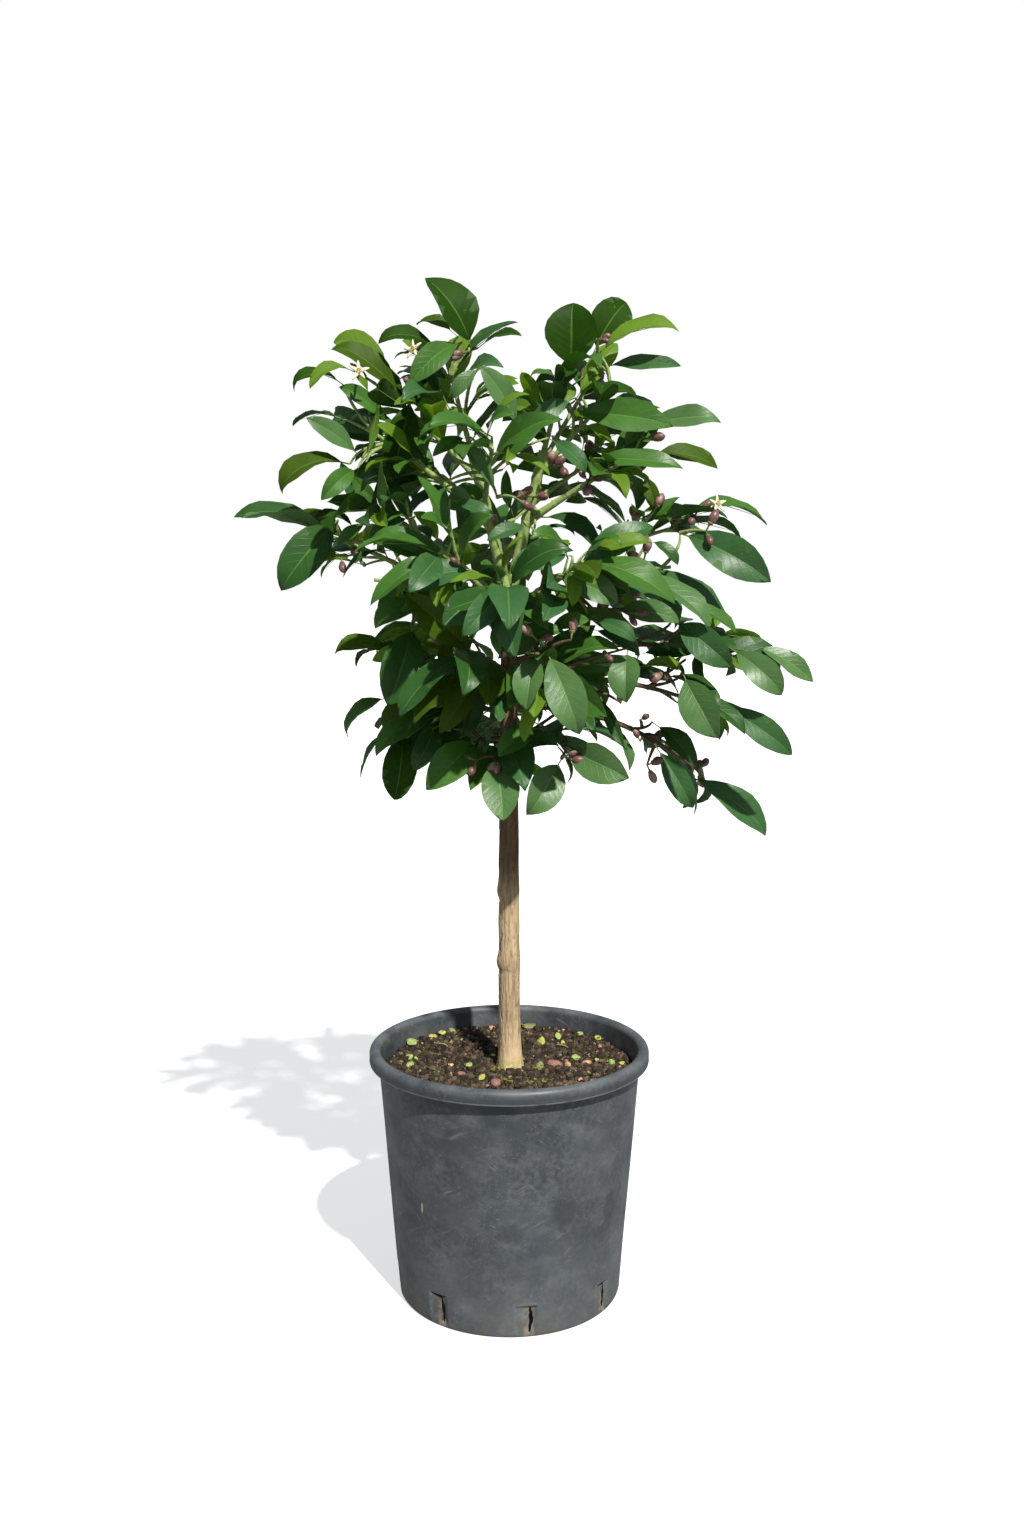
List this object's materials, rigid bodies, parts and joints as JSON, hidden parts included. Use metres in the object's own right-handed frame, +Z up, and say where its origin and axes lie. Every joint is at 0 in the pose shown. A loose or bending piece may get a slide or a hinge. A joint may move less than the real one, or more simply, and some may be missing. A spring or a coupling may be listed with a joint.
{
  "type": "potted lemon tree",
  "caption": "Young lemon tree grown as a standard: one bare stem with a round evergreen crown in bud, standing in a thin-walled plastic nursery pot of soil.",
  "frame": {"origin": "centre of the pot's flat underside", "axes": "+Z up along the trunk, -Y towards the front, +X to the right as the front is seen"},
  "size_m": [0.5501, 0.4369, 0.9905],
  "materials": {
    "pot": "matt blue-black moulded plastic, scuffed and dusty",
    "soil": "moist dark potting soil with clods and gravel",
    "trunk": "pale tan bark with fine upright cracks, browner above",
    "boughs": "smooth green young bark",
    "foliage": "glossy dark green leaves, yellow-green where young"
  },
  "bodies": {
    "root": {"bough_back": "boughs", "bough_back_left": "boughs", "bough_back_low_left": "boughs", "bough_back_low_right": "boughs", "bough_back_right": "boughs", "bough_far_left": "boughs", "bough_front": "boughs", "bough_front_left": "boughs", "bough_front_right": "boughs", "bough_left_high": "boughs", "bough_left_mid": "boughs", "bough_right": "boughs", "bough_right_bottom": "boughs", "bough_right_high": "boughs", "bough_right_low": "boughs", "bough_right_mid": "boughs", "bough_right_up": "boughs", "bough_upper_far_left": "boughs", "foliage_back": "foliage", "foliage_back_foot": "foliage", "foliage_back_high_left": "foliage", "foliage_back_high_right": "foliage", "foliage_back_left": "foliage", "foliage_back_low_left": "foliage", "foliage_back_low_right": "foliage", "foliage_back_right": "foliage", "foliage_far_left": "foliage", "foliage_front": "foliage", "foliage_front_foot": "foliage", "foliage_front_high": "foliage", "foliage_front_left": "foliage", "foliage_front_low": "foliage", "foliage_front_low_left": "foliage", "foliage_front_right": "foliage", "foliage_left_bottom": "foliage", "foliage_left_foot": "foliage", "foliage_left_high": "foliage", "foliage_left_low": "foliage", "foliage_left_mid": "foliage", "foliage_right": "foliage", "foliage_right_bottom": "foliage", "foliage_right_foot": "foliage", "foliage_right_high": "foliage", "foliage_right_low": "foliage", "foliage_right_mid": "foliage", "foliage_right_top": "foliage", "foliage_right_up": "foliage", "foliage_top_back_right": "foliage", "foliage_top_left": "foliage", "foliage_top_right": "foliage", "foliage_upper_far_left": "foliage", "foliage_upper_left": "foliage", "leader_left": "boughs", "leader_right": "boughs", "pot": "pot", "soil": "soil", "trunk": "trunk"}
  },
  "joints": []
}
